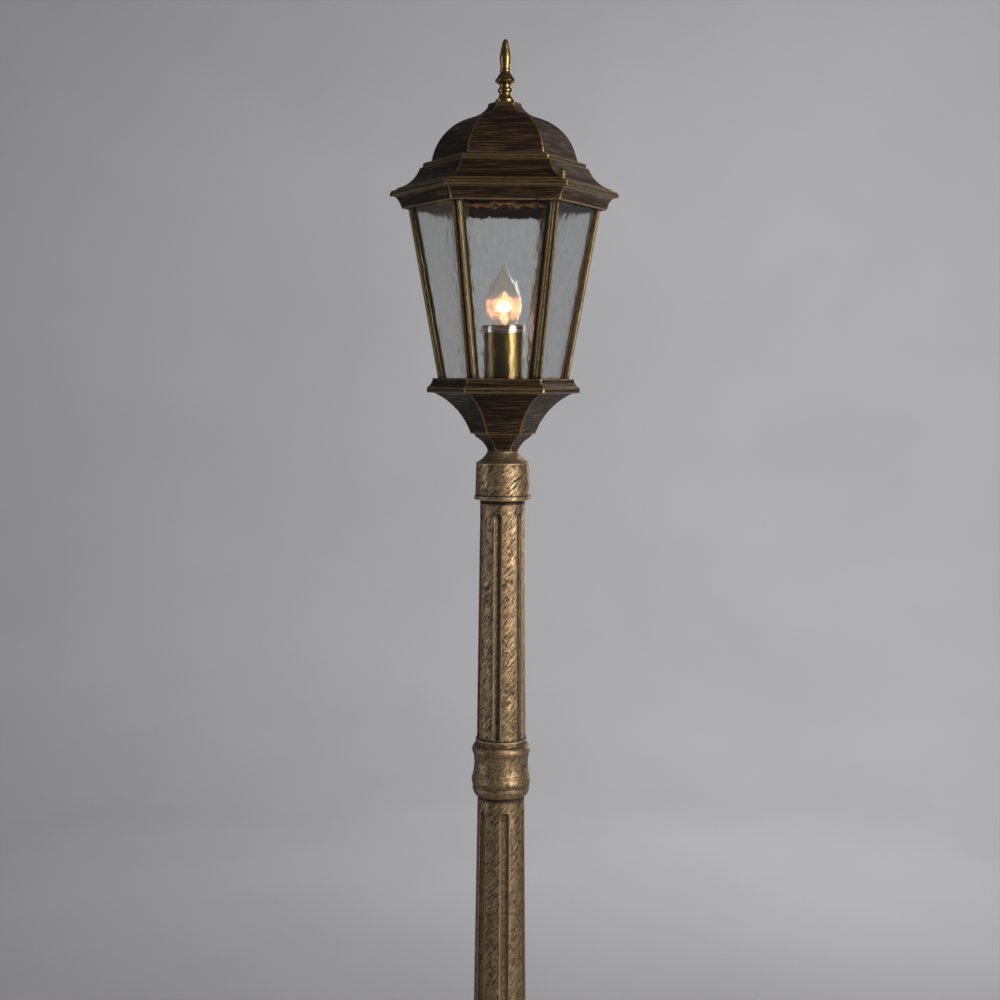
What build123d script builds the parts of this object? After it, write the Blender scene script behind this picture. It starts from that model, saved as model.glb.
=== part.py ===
from build123d import *
import os
from math import atan, cos, degrees, sqrt

# A street lamp post: a six-sided glazed lantern on a fluted, three-piece cast aluminium post.
# Millimetres, +Z up, origin at the middle of the base's underside. The lantern's corners lie at
# 0, 60, 120 ... degrees from +X, and the front of the lamp faces -Y.
# Radii in the lantern's sections are corner radii: from the axis to a corner of the hexagon.

os.makedirs("parts", exist_ok=True)

# --- Driving heights, from the ground up ------------------------------------------------------
base_height = 250.0
lower_post_length = 516.0
middle_post_length = 460.0
upper_post_length = 246.3
coupler_height = 60.0
collar_height = 49.0
bowl_height = 73.2
glazing_height = 168.5
roof_height = 104.0
finial_height = 63.0

# --- Base and post: outer radii, walls and flutes ---------------------------------------------
flange_radius = 110.0
flange_thickness = 8.0
foot_radius = 84.0
base_wall = 5.0
lower_bottom_radius = 36.0
lower_top_radius = 29.6
middle_bottom_radius = 30.4
middle_top_radius = 24.2
upper_bottom_radius = 25.2
upper_top_radius = 22.9
post_wall = 4.5
end_web = 12.0
socket_depth = 24.0
collar_socket = 28.0
collar_radius = 28.0
collar_neck_radius = 16.0
flute_count = 6
flute_depth = 2.3
flute_end_gap = 13.0
upper_flute_width = 8.0
middle_flute_width = 10.0
lower_flute_width = 12.0
upper_flute_turn = 18.0
middle_flute_turn = 39.0
lower_flute_turn = 0.0

# --- Lantern: corner radii and walls ----------------------------------------------------------
tray_radius = 77.3
bowl_foot_radius = 33.0
bowl_neck_radius = 15.8
bowl_wall = 3.7
rim_wall = 2.5
brim_radius = 115.0
cornice_radius = brim_radius - 5.2
ledge_radius = 84.7
dome_radius = 73.0
roof_cap_radius = 17.5
roof_wall = 3.0
pane_thickness = 3.0
pane_edge_inset = 3.0
bar_width = 8.6
bar_front = 3.2
bar_back = 5.8
bead_radius = 1.4
bead_spacing = 4.2
plate_thickness = 2.0
ring_plate_thickness = 3.2
gasket_thickness = 1.0

# --- Lamp -------------------------------------------------------------------------------------
sleeve_radius = 20.5
sleeve_wall = 1.0
sleeve_height = 50.0
sleeve_ring_radius = 21.9
sleeve_ring_height = 8.0
bulb_radius = 17.5
bulb_length = 92.0
bulb_cap_radius = 13.2
bulb_cap_height = 23.0
bulb_glass_wall = 0.8
bulb_contact_radius = 4.5
bulb_contact_bore = 0.5
bulb_contact_height = 0.8
holder_height = 37.5
holder_shell_wall = 0.8
cable_radius = 3.0

# --- Fasteners and fittings -------------------------------------------------------------------
anchor_circle_radius = 97.0
anchor_hole_radius = 5.5
anchor_count = 4
nipple_radius = 8.0
nipple_bore = 5.5
lamp_pipe_radius = 5.0
lamp_pipe_bore = 3.6
nut_flats = 14.0
nut_height = 4.5
stud_radius = 1.5
stud_circle_radius = brim_radius - 9.5
cap_nut_height = 9.6
finial_stud_radius = 3.0
finial_stud_depth = 12.0
finial_nut_flats = 10.0
finial_nut_height = 5.0
screw_radius = 1.5
screw_head_radius = 2.7
screw_head_height = 1.9
bracket_level = 94.0
bracket_width = 14.0
lug_size = 12.0
block_length = 34.0
block_width = 20.0
block_height = 22.0

# --- Clearances -------------------------------------------------------------------------------
fit = 0.15          # between pieces clamped in one body
running = 0.05      # radial, between a stud and its nut
lift_gap = 0.3      # under a piece that lifts off or turns
free_gap = 0.5      # round what passes through a hole

# --- Levels that follow from the heights ------------------------------------------------------
lower_top = base_height + lower_post_length
middle_bottom = lower_top + coupler_height
middle_top = middle_bottom + middle_post_length
upper_bottom = middle_top + coupler_height
upper_top = upper_bottom + upper_post_length
collar_top = upper_top + collar_height
tray_top = collar_top + bowl_height
cornice_bottom = tray_top + glazing_height
roof_top = cornice_bottom + roof_height
total_height = roof_top + finial_height

plate_level = tray_top - 4.5
ring_plate_bottom = cornice_bottom + 12.0
ring_plate_top = ring_plate_bottom + ring_plate_thickness
brim_under = ring_plate_top + gasket_thickness + lift_gap
bar_bottom_radius = tray_radius - 15.8
bar_top_radius = cornice_radius - 18.3
bar_slope = (bar_top_radius - bar_bottom_radius) / glazing_height
half_root_three = sqrt(3) / 2
pane_lean = atan(bar_slope * half_root_three)
reach = 3 * brim_radius


# --- Helpers ----------------------------------------------------------------------------------
def save(part, label):
    """Labels a finished piece and writes it to a file of its own."""
    part.label = label
    export_step(part, f"parts/{label}.step")


def six_sided(section):
    """Runs a corner section (corner radius, height) round the hexagon, mitred at each corner."""
    with BuildPart() as side:
        with BuildSketch(Plane.XZ):
            add(section)
        extrude(amount=1.2 * brim_radius, dir=(-0.5, half_root_three, 0), both=True)
        with BuildSketch():
            Polygon((0, 0), (reach, 0), (reach / 2, reach * half_root_three), align=None)
        extrude(amount=1.1 * total_height, mode=Mode.INTERSECT)
    with BuildPart() as hexagon:
        with PolarLocations(0, 6):
            add(side.part)
    return hexagon.part


def turned(section):
    """Turns a section (radius, height) once round the post's axis."""
    with BuildPart() as piece:
        with BuildSketch(Plane.XZ):
            add(section)
        revolve(axis=Axis.Z)
    return piece.part


def tube(outer, bore, bottom, top):
    """A plain round tube on the axis."""
    with BuildPart() as piece:
        with BuildSketch(Plane.XY.offset(bottom)):
            Circle(outer)
            Circle(bore, mode=Mode.SUBTRACT)
        extrude(amount=top - bottom)
    return piece.part


def hex_nut(flats, bore, height, bottom):
    """A plain hexagon nut on the axis, chamfered on top."""
    with BuildPart() as nut:
        with BuildSketch(Plane.XY.offset(bottom)):
            RegularPolygon(flats / 2, 6, major_radius=False)
            Circle(bore, mode=Mode.SUBTRACT)
        extrude(amount=height)
        chamfer(nut.faces().sort_by(Axis.Z)[-1].outer_wire().edges(), 0.12 * height)
    return nut.part


def pan_screw(level, length, up=True):
    """A pan-head screw on the axis, its head under a level and its shank above, or turned over."""
    with BuildPart() as screw:
        Cylinder(screw_radius, length, align=(Align.CENTER, Align.CENTER, Align.MIN))
        Cylinder(
            screw_head_radius, screw_head_height, align=(Align.CENTER, Align.CENTER, Align.MAX)
        )
        fillet(screw.edges().sort_by(Axis.Z)[0], 0.45 * screw_head_height)
        with Locations((0, 0, -screw_head_height)):
            Box(1.4 * screw_head_radius, 0.7, 1.2, mode=Mode.SUBTRACT)
    turn = 0 if up else 180
    with BuildPart() as placed:
        with Locations(Location((0, 0, level), (turn, 0, 0))):
            add(screw.part)
    return placed.part


def ring_of(piece, radius, count, start_angle=0.0):
    """Copies of a piece from the axis, set round a circle as separate solids of one node."""
    with BuildPart() as ring:
        with PolarLocations(radius, count, start_angle=start_angle):
            add(piece)
    return ring.part


def bar_radius(level):
    """Corner radius of the glazing bars' centre line at a height."""
    return bar_bottom_radius + (level - tray_top) * bar_slope


# --- Base: a bell-shaped casting, open underneath, with an anchor flange -----------------------
base_neck = lower_bottom_radius + 6.5
base_web_bottom = base_height - socket_depth - end_web
bell_foot = foot_radius - 7
bell_middle = (0.62 * foot_radius, 0.36 * base_height)
bell_top = base_height - 62
bell_inside = bell_foot - 1.2 * base_wall
lug_reach = bell_middle[0] - 2
bracket_half_length = bell_middle[0] - 1.3 * base_wall - 3
lug_length = lug_reach - bracket_half_length + lug_size
lug_centre = bracket_half_length - lug_size / 2
with BuildSketch() as base_section:
    with BuildLine():
        Polyline(
            (flange_radius, 0), (flange_radius, flange_thickness),
            (foot_radius + 2, flange_thickness + 2), (foot_radius, flange_thickness + 4),
            (foot_radius, 20),
        )
        ThreePointArc((foot_radius, 20), (foot_radius - 1.5, 29), (bell_foot, 33))
        ThreePointArc((bell_foot, 33), bell_middle, (base_neck + 3, bell_top))
        Line((base_neck + 3, bell_top), (base_neck + 3, bell_top + 5))
        ThreePointArc(
            (base_neck + 3, bell_top + 5), (base_neck + 7.5, bell_top + 11.5),
            (base_neck + 3, bell_top + 18),
        )
        ThreePointArc(
            (base_neck + 3, bell_top + 18), (base_neck - 1, bell_top + 36),
            (base_neck + 2.5, base_height - 10),
        )
        ThreePointArc(
            (base_neck + 2.5, base_height - 10), (base_neck + 3.6, base_height - 6),
            (base_neck + 1, base_height - 2.5),
        )
        Polyline(
            (base_neck + 1, base_height - 2.5), (lower_bottom_radius + 2, base_height),
            (lower_bottom_radius + fit, base_height),
            (lower_bottom_radius + fit, base_height - socket_depth),
            (nipple_radius + fit, base_height - socket_depth),
            (nipple_radius + fit, base_web_bottom),
            (base_neck - base_wall, base_web_bottom), (base_neck - base_wall, bell_top),
        )
        ThreePointArc(
            (base_neck - base_wall, bell_top),
            (bell_middle[0] - 1.3 * base_wall, bell_middle[1] - 0.5 * base_wall),
            (bell_inside, 30),
        )
        Polyline((bell_inside, 30), (bell_inside, 0), (flange_radius, 0))
    make_face()
with BuildPart() as base_casting:
    add(turned(base_section.sketch))
    with PolarLocations(anchor_circle_radius, anchor_count, start_angle=45):
        Cylinder(anchor_hole_radius, 4 * flange_thickness, mode=Mode.SUBTRACT)
    with BuildSketch(Plane.XY.offset(bracket_level + plate_thickness)):
        with GridLocations(2 * lug_reach - lug_length, 0, 2, 1):
            Rectangle(lug_length, lug_size)
    extrude(amount=lug_size)
    with BuildSketch(Plane.XY.offset(bracket_level)):
        with GridLocations(2 * lug_centre, 0, 2, 1):
            Circle(screw_radius + fit)
    extrude(amount=10, mode=Mode.SUBTRACT)
save(base_casting.part, "base_casting")

# --- Supply terminals inside the base, on a steel strap between the two lugs -------------------
with BuildPart() as terminal_bracket:
    with BuildSketch(Plane.XY.offset(bracket_level)):
        RectangleRounded(2 * bracket_half_length, bracket_width, 3)
        with GridLocations(2 * lug_centre, 0, 2, 1):
            Circle(screw_radius + fit, mode=Mode.SUBTRACT)
    extrude(amount=plate_thickness)
save(terminal_bracket.part, "terminal_bracket")

bracket_screw = pan_screw(bracket_level, 9)
save(ring_of(bracket_screw, lug_centre, 2), "bracket_screws")

block_bottom = bracket_level + plate_thickness
with BuildPart() as supply_terminal_block:
    with Locations((0, 0, block_bottom)):
        Box(block_length, block_width, block_height, align=(Align.CENTER, Align.CENTER, Align.MIN))
    fillet(supply_terminal_block.edges().filter_by(Axis.Z), 2)
    for level in (block_bottom + 6, block_bottom + block_height - 6):
        with BuildSketch(Plane.XZ.offset(block_width / 2)):
            with Locations((0, level)):
                with GridLocations(block_length / 3, 0, 3, 1):
                    Circle(screw_head_radius + fit)
        extrude(amount=-5, mode=Mode.SUBTRACT)
save(supply_terminal_block.part, "supply_terminal_block")

with BuildPart() as terminal_screws:
    for level in (block_bottom + 6, block_bottom + block_height - 6):
        with BuildSketch(Plane.XZ.offset(block_width / 2 - 2)):
            with Locations((0, level)):
                with GridLocations(block_length / 3, 0, 3, 1):
                    Circle(screw_head_radius)
                    Rectangle(2 * screw_head_radius, 0.8, mode=Mode.SUBTRACT)
        extrude(amount=-1)
        with BuildSketch(Plane.XZ.offset(block_width / 2 - 3)):
            with Locations((0, level)):
                with GridLocations(block_length / 3, 0, 3, 1):
                    Circle(screw_head_radius)
        extrude(amount=-2)
save(terminal_screws.part, "terminal_screws")


# --- Post: three tapered, fluted castings ------------------------------------------------------
def post_segment(bottom, top, bottom_radius, top_radius, top_insert, hole, flute_width, turn):
    """One hollow length of post, with a spigot and a tapped web at each end, and its flutes."""
    low, high = bottom - socket_depth, top + top_insert
    with BuildSketch() as section:
        with BuildLine():
            Polyline(
                (nipple_radius + fit, low), (bottom_radius, low), (bottom_radius, bottom),
                (top_radius, top), (top_radius, high), (hole, high), (hole, high - end_web),
                (top_radius - post_wall, high - end_web),
                (bottom_radius - post_wall, low + end_web), (nipple_radius + fit, low + end_web),
                close=True,
            )
        make_face()
    cutter_radius = (flute_width / 2) ** 2 / (2 * flute_depth) + flute_depth / 2
    stand_off = cutter_radius - flute_depth
    taper = (bottom_radius - top_radius) / (top - bottom)
    upper_end = top - flute_end_gap - flute_width / 2
    lower_end = bottom + 1 + flute_width / 2
    flute_top = (top_radius + (top - upper_end) * taper + stand_off, 0, upper_end)
    flute_bottom = (top_radius + (top - lower_end) * taper + stand_off, 0, lower_end)
    with BuildPart() as flute:
        with BuildLine() as run:
            Line(flute_bottom, flute_top)
        with BuildSketch(Plane(origin=run.line @ 0, z_dir=run.line % 0)):
            Circle(cutter_radius)
        sweep()
        with Locations(flute_bottom, flute_top):
            Sphere(cutter_radius)
    with BuildPart() as segment:
        add(turned(section.sketch))
        with PolarLocations(0, flute_count, start_angle=turn):
            add(flute.part, mode=Mode.SUBTRACT)
    return segment.part


lower_bottom = base_height
nipple_hole = nipple_radius + fit
pipe_hole = lamp_pipe_radius + fit
save(
    post_segment(
        lower_bottom, lower_top, lower_bottom_radius, lower_top_radius,
        socket_depth, nipple_hole, lower_flute_width, lower_flute_turn,
    ),
    "post_lower",
)
save(
    post_segment(
        middle_bottom, middle_top, middle_bottom_radius, middle_top_radius,
        socket_depth, nipple_hole, middle_flute_width, middle_flute_turn,
    ),
    "post_middle",
)
save(
    post_segment(
        upper_bottom, upper_top, upper_bottom_radius, upper_top_radius,
        collar_socket, pipe_hole, upper_flute_width, upper_flute_turn,
    ),
    "post_upper",
)


# --- Couplers: moulded rings that join one length of post to the next --------------------------
def coupler(bottom, below, above):
    """A ring with a socket each way, for the post radius below it and the one above it."""
    top = bottom + coupler_height
    with BuildSketch() as section:
        with BuildLine():
            Polyline(
                (above + fit, top), (above + 0.8, top), (above + 1.3, top - 0.8),
                (above + 1.3, top - 5.2), (above + 1.9, top - 6),
            )
            ThreePointArc(
                (above + 1.9, top - 6), (above + 4.7, top - 10.6), (above + 3.5, top - 16)
            )
            ThreePointArc(
                (above + 3.5, top - 16), (above + 2.6, top - 27.5), (below + 5.2, top - 39)
            )
            ThreePointArc(
                (below + 5.2, top - 39), (below + 6.1, top - 44.6), (below + 4.8, top - 48.6)
            )
            Line((below + 4.8, top - 48.6), (below + 4.8, top - 49.4))
            ThreePointArc(
                (below + 4.8, top - 49.4), (below + 5.3, top - 52.2), (below + 4.2, top - 55.4)
            )
            ThreePointArc(
                (below + 4.2, top - 55.4), (below + 2.6, bottom + 1.2), (below + 0.6, bottom)
            )
            Polyline(
                (below + 0.6, bottom), (below + fit, bottom),
                (below + fit, bottom + socket_depth), (nipple_hole, bottom + socket_depth),
                (nipple_hole, top - socket_depth), (above + fit, top - socket_depth),
                (above + fit, top),
            )
        make_face()
    return turned(section.sketch)


save(coupler(lower_top, lower_top_radius, middle_bottom_radius), "coupler_lower")
save(coupler(middle_top, middle_top_radius, upper_bottom_radius), "coupler_upper")

# --- Threaded steel nipples that pull the castings together ------------------------------------
base_joint = base_height - socket_depth
save(tube(nipple_radius, nipple_bore, base_joint - end_web, base_joint + end_web), "base_nipple")
for label, joint in (("lower_nipple", lower_top), ("upper_nipple", middle_top)):
    nipple_bottom = joint + socket_depth - end_web
    nipple_top = joint + coupler_height - socket_depth + end_web
    save(tube(nipple_radius, nipple_bore, nipple_bottom, nipple_top), label)

# --- Fitter collar: the round cap that carries the lantern on the post's top -------------------
with BuildSketch() as collar_section:
    with BuildLine():
        Polyline(
            (upper_top_radius + fit, upper_top), (collar_radius + 0.6, upper_top),
            (collar_radius + 0.9, upper_top + 0.4), (collar_radius + 0.9, upper_top + 3.6),
            (collar_radius, upper_top + 4), (collar_radius - 0.8, collar_top - 12.4),
            (collar_radius - 1.6, collar_top - 11.3),
        )
        ThreePointArc(
            (collar_radius - 1.6, collar_top - 11.3), (collar_neck_radius + 4.2, collar_top - 6.9),
            (collar_neck_radius, collar_top - 1),
        )
        Polyline(
            (collar_neck_radius, collar_top - 1), (collar_neck_radius, collar_top),
            (pipe_hole, collar_top), (pipe_hole, upper_top + collar_socket),
            (upper_top_radius + fit, upper_top + collar_socket),
            (upper_top_radius + fit, upper_top),
        )
    make_face()
save(turned(collar_section.sketch), "fitter_collar")

# --- Lantern bowl: six-sided casting with a moulded tray edge ----------------------------------
cove_top = tray_top - 14.8
cove_bottom = tray_top - 55.6
cove_inner_top = (tray_radius - 11.8, tray_top - 12.7)
cove_inner_bottom = (bowl_foot_radius - 1.05 * bowl_wall, cove_bottom)
cove_sag = 5.7
rim_inner = tray_radius - 5.8 - rim_wall
plate_bottom = plate_level - plate_thickness
with BuildSketch() as bowl_section:
    with BuildLine():
        Line((rim_inner, tray_top), (tray_radius - 5.8, tray_top))
        ThreePointArc(
            (tray_radius - 5.8, tray_top), (tray_radius - 4.2, tray_top - 5.2),
            (tray_radius - 0.5, tray_top - 9),
        )
        Polyline(
            (tray_radius - 0.5, tray_top - 9), (tray_radius, tray_top - 9.6),
            (tray_radius, tray_top - 14), (tray_radius - 0.6, tray_top - 14.5),
            (tray_radius - 7.3, cove_top),
        )
        SagittaArc((tray_radius - 7.3, cove_top), (bowl_foot_radius, cove_bottom), -cove_sag)
        Polyline(
            (bowl_foot_radius, cove_bottom), (bowl_foot_radius - 3.3, cove_bottom - 0.6),
            (bowl_foot_radius - 5.1, cove_bottom - 3.2),
        )
        SagittaArc(
            (bowl_foot_radius - 5.1, cove_bottom - 3.2), (bowl_neck_radius, collar_top + 1.6), -1.4
        )
        Polyline(
            (bowl_neck_radius, collar_top + 1.6), (bowl_neck_radius, collar_top),
            (0, collar_top), (0, cove_bottom), cove_inner_bottom,
        )
        SagittaArc(cove_inner_bottom, cove_inner_top, cove_sag)
        Polyline(
            cove_inner_top, (cove_inner_top[0], plate_bottom), (rim_inner, plate_bottom),
            (rim_inner, tray_top),
        )
    make_face()
with BuildPart() as lantern_bowl:
    add(six_sided(bowl_section.sketch))
    with Locations((0, 0, collar_top - 1)):
        Cylinder(
            pipe_hole, bowl_height, align=(Align.CENTER, Align.CENTER, Align.MIN),
            mode=Mode.SUBTRACT,
        )
save(lantern_bowl.part, "lantern_bowl")

# --- Tray plate: pressed steel, carries the glazing bars and the lamp --------------------------
bar_screw_radius = bar_radius(plate_level) - (bar_back - bar_front) / 2
earth_screw_place = 38.0
with BuildPart() as tray_plate:
    with BuildSketch(Plane.XY.offset(plate_bottom)):
        RegularPolygon(rim_inner - fit, 6)
        Circle(pipe_hole, mode=Mode.SUBTRACT)
        with PolarLocations(bar_screw_radius, 6):
            Circle(screw_radius + fit, mode=Mode.SUBTRACT)
        with Locations((0, earth_screw_place)):
            Circle(screw_radius + fit, mode=Mode.SUBTRACT)
    extrude(amount=plate_thickness)
save(tray_plate.part, "tray_plate")

save(ring_of(pan_screw(plate_level, 8, up=False), earth_screw_place, 1, 90), "earth_screw")

# --- Threaded lamp pipe: post top to lampholder, with its two nuts -----------------------------
holder_bottom = plate_level + 12
pipe_bottom = upper_top + collar_socket - end_web
save(tube(lamp_pipe_radius, lamp_pipe_bore, pipe_bottom, holder_bottom + 8), "lamp_pipe")
with BuildPart() as lamp_pipe_nuts:
    for seat in (cove_bottom, plate_level):
        add(hex_nut(nut_flats, pipe_hole, nut_height, seat))
save(lamp_pipe_nuts.part, "lamp_pipe_nuts")


# --- Panes: six leaning sheets of glass --------------------------------------------------------
def pane_blank(thickness, edge_inset, bottom, top):
    """A leaning trapezium on the +Y side, its edges held inside the bars."""
    middle = (bottom + top) / 2
    outward = (0, cos(pane_lean), -bar_slope * half_root_three * cos(pane_lean))
    lean_plane = Plane(
        origin=(0, bar_radius(middle) * half_root_three, middle), x_dir=(-1, 0, 0), z_dir=outward
    )
    rise = (top - bottom) / 2 / cos(pane_lean)
    low = bar_radius(bottom) / 2 - edge_inset
    high = bar_radius(top) / 2 - edge_inset
    with BuildPart() as blank:
        with BuildSketch(lean_plane):
            Polygon((-low, -rise), (low, -rise), (high, rise), (-high, rise), align=None)
        extrude(amount=thickness / 2, both=True)
    return blank.part


pane = pane_blank(pane_thickness, pane_edge_inset, plate_level + 0.4, ring_plate_bottom - 0.4)
for number in range(6):
    with BuildPart() as glass_pane:
        with PolarLocations(0, 1, start_angle=60 * number):
            add(pane)
    save(glass_pane.part, f"glass_pane_{number + 1}")

# --- Glazing bars: grooved and beaded profiles at the six corners ------------------------------
groove = pane_blank(
    pane_thickness + 2 * fit, pane_edge_inset - fit, plate_level - 5, ring_plate_bottom + 5
)
bar_start = plate_level - 10
bar_plane = Plane(
    origin=(bar_radius(bar_start), 0, bar_start), x_dir=(0, 1, 0), z_dir=(bar_slope, 0, 1)
)
with BuildPart() as bar:
    with BuildSketch(bar_plane):
        with Locations((0, (bar_back - bar_front) / 2)):
            Rectangle(bar_width, bar_back + bar_front)
        with Locations((-bead_spacing / 2, -bar_front), (bead_spacing / 2, -bar_front)):
            Circle(bead_radius)
    extrude(amount=glazing_height + 40)
    split(bisect_by=Plane.XY.offset(plate_level), keep=Keep.TOP)
    split(bisect_by=Plane.XY.offset(ring_plate_bottom), keep=Keep.BOTTOM)
    with PolarLocations(0, 2, start_angle=-60, angular_range=-120):
        add(groove, mode=Mode.SUBTRACT)
    for level, side in ((plate_level, Align.MIN), (ring_plate_bottom, Align.MAX)):
        with Locations((bar_radius(level) - (bar_back - bar_front) / 2, 0, level)):
            Cylinder(
                screw_radius + fit / 3, 9, align=(Align.CENTER, Align.CENTER, side),
                mode=Mode.SUBTRACT,
            )
for number in range(6):
    with BuildPart() as glazing_bar:
        with PolarLocations(0, 1, start_angle=60 * number):
            add(bar.part)
    save(glazing_bar.part, f"glazing_bar_{number + 1}")

save(ring_of(pan_screw(plate_bottom, 10), bar_screw_radius, 6), "bar_screws_lower")
top_screw_radius = bar_radius(ring_plate_bottom) - (bar_back - bar_front) / 2
save(ring_of(pan_screw(ring_plate_top, 11, up=False), top_screw_radius, 6), "bar_screws_upper")

# --- Top ring: the cornice that ties the bars together and carries the roof --------------------
flange_corner = cornice_radius + 1.6
ring_inner = cornice_radius - 23.8
bar_reach = (bar_front + bead_radius / half_root_three) * sqrt(1 + bar_slope ** 2)
skirt_inner = bar_radius(ring_plate_bottom) + bar_reach + bead_spacing / 2 / sqrt(3) + free_gap
with BuildSketch() as ring_section:
    with BuildLine():
        Line((skirt_inner, cornice_bottom), (cornice_radius - 7.1, cornice_bottom))
        SagittaArc(
            (cornice_radius - 7.1, cornice_bottom), (cornice_radius, ring_plate_bottom), 1.1
        )
        Polyline(
            (cornice_radius, ring_plate_bottom), (flange_corner, ring_plate_bottom),
            (flange_corner, ring_plate_top), (ring_inner, ring_plate_top),
            (ring_inner, ring_plate_bottom), (skirt_inner, ring_plate_bottom),
            (skirt_inner, cornice_bottom),
        )
    make_face()
with BuildPart() as top_ring:
    add(six_sided(ring_section.sketch))
    with BuildSketch(Plane.XY.offset(ring_plate_bottom)):
        with PolarLocations(top_screw_radius, 6):
            Circle(screw_radius + fit)
        with PolarLocations(stud_circle_radius, 2, start_angle=-60):
            Circle(stud_radius + running)
    extrude(amount=ring_plate_thickness, mode=Mode.SUBTRACT)
save(top_ring.part, "top_ring")

gasket_outer = stud_circle_radius - stud_radius - 1.0
with BuildSketch() as gasket_section:
    Polygon(
        (gasket_outer - 6.5, ring_plate_top), (gasket_outer, ring_plate_top),
        (gasket_outer, ring_plate_top + gasket_thickness),
        (gasket_outer - 6.5, ring_plate_top + gasket_thickness), align=None,
    )
save(six_sided(gasket_section.sketch), "roof_gasket")

# --- Roof: one hollow casting with a dome, a ledge, a cove and a brim --------------------------
brim_level = ring_plate_top + 3.9
ledge_level = ring_plate_top + 30.2
lip_bottom = ring_plate_bottom + 0.3
lip_inner = flange_corner + 0.6
seat_level = brim_level + 0.7
seat_radius = 3.8
dome_foot = (dome_radius, ledge_level + 1.6)
dome_crown = (roof_cap_radius + 15.5, roof_top - 13.6)
inner_dome_foot = (dome_radius - roof_wall, ledge_level - 1.4)
inner_dome_crown = (dome_crown[0] - 2, dome_crown[1] - 1.25 * roof_wall)
dome_sag = 9.0
cap_thickness = 7.0
cove_start = (ledge_radius, ledge_level - 5)
cove_end = (brim_radius - 7.6, brim_level + 1.3)
inner_cove_start = (ledge_radius - 1.1 * roof_wall, cove_start[1] - 0.9 * roof_wall)
with BuildSketch() as roof_section:
    with BuildLine():
        Polyline(
            (0, roof_top), (roof_cap_radius - 1.5, roof_top),
            (roof_cap_radius - 0.6, roof_top - 0.8), (roof_cap_radius, roof_top - 4),
        )
        SagittaArc((roof_cap_radius, roof_top - 4), dome_crown, -1.6)
        SagittaArc(dome_crown, dome_foot, dome_sag)
        Polyline(
            dome_foot, (ledge_radius - 4.1, ledge_level), (ledge_radius - 3.2, ledge_level - 0.9),
            (ledge_radius - 2.9, ledge_level - 4.3), cove_start,
        )
        SagittaArc(cove_start, cove_end, -4.1)
        Polyline(
            cove_end, (brim_radius - 7.2, brim_level), (brim_radius - 2.2, brim_level - 1.6),
            (brim_radius - 1.3, brim_level - 2.3), (brim_radius, brim_level - 6.1),
            (brim_radius - 0.5, lip_bottom), (lip_inner, lip_bottom), (lip_inner, brim_under),
            (brim_radius - 12, brim_under),
        )
        SagittaArc((brim_radius - 12, brim_under), inner_cove_start, 3.4)
        Polyline(
            inner_cove_start, (ledge_radius - 6.2, inner_cove_start[1]),
            (ledge_radius - 6.5, inner_dome_foot[1] - 0.6), inner_dome_foot,
        )
        SagittaArc(inner_dome_foot, inner_dome_crown, -dome_sag)
        Polyline(
            inner_dome_crown, (roof_cap_radius - 3.5, roof_top - cap_thickness),
            (0, roof_top - cap_thickness), (0, roof_top),
        )
    make_face()
with BuildPart() as roof_shell:
    add(six_sided(roof_section.sketch))
    with BuildSketch(Plane.XY.offset(brim_under)):
        with PolarLocations(stud_circle_radius, 2, start_angle=-60):
            Circle(seat_radius)
    extrude(amount=seat_level - brim_under)
    with BuildSketch(Plane.XY.offset(seat_level)):
        with PolarLocations(stud_circle_radius, 2, start_angle=-60):
            Circle(seat_radius)
    extrude(amount=cap_nut_height, mode=Mode.SUBTRACT)
    with BuildSketch(Plane.XY.offset(brim_under)):
        with PolarLocations(stud_circle_radius, 2, start_angle=-60):
            Circle(stud_radius + free_gap)
    extrude(amount=seat_level - brim_under, mode=Mode.SUBTRACT)
    with Locations((0, 0, roof_top)):
        Cylinder(finial_stud_radius + fit, 30, mode=Mode.SUBTRACT)
save(roof_shell.part, "roof_shell")

# --- Roof studs and the two turned cap nuts that hold the roof down ----------------------------
nut_base = seat_level + 0.1
stud_top = nut_base + 5.0
with BuildPart() as stud_blank:
    with Locations((0, 0, ring_plate_bottom)):
        Cylinder(
            stud_radius, stud_top - ring_plate_bottom,
            align=(Align.CENTER, Align.CENTER, Align.MIN),
        )
save(ring_of(stud_blank.part, stud_circle_radius, 2, start_angle=-60), "roof_studs")

with BuildSketch() as cap_nut_section:
    with BuildLine():
        Polyline(
            (stud_radius + running, nut_base), (3.1, nut_base), (3.1, nut_base + 0.8),
            (2.7, nut_base + 1.2),
        )
        ThreePointArc(
            (2.7, nut_base + 1.2), (3.5, nut_base + 2.9), (2.6, nut_base + 4.4)
        )
        ThreePointArc(
            (2.6, nut_base + 4.4), (3.1, nut_base + 5.7), (1.9, nut_base + 7.1)
        )
        Spline(
            (1.9, nut_base + 7.1), (1.1, nut_base + 8.8), (0, nut_base + cap_nut_height),
            tangents=((-0.5, 1), (-1, 0)),
        )
        Polyline(
            (0, nut_base + cap_nut_height), (0, stud_top + 0.4),
            (stud_radius + running, stud_top + 0.4), (stud_radius + running, nut_base),
        )
    make_face()
cap_nut = turned(cap_nut_section.sketch)
save(ring_of(cap_nut, stud_circle_radius, 1, start_angle=-60), "cap_nut_front")
save(ring_of(cap_nut, stud_circle_radius, 1, start_angle=120), "cap_nut_back")

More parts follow.
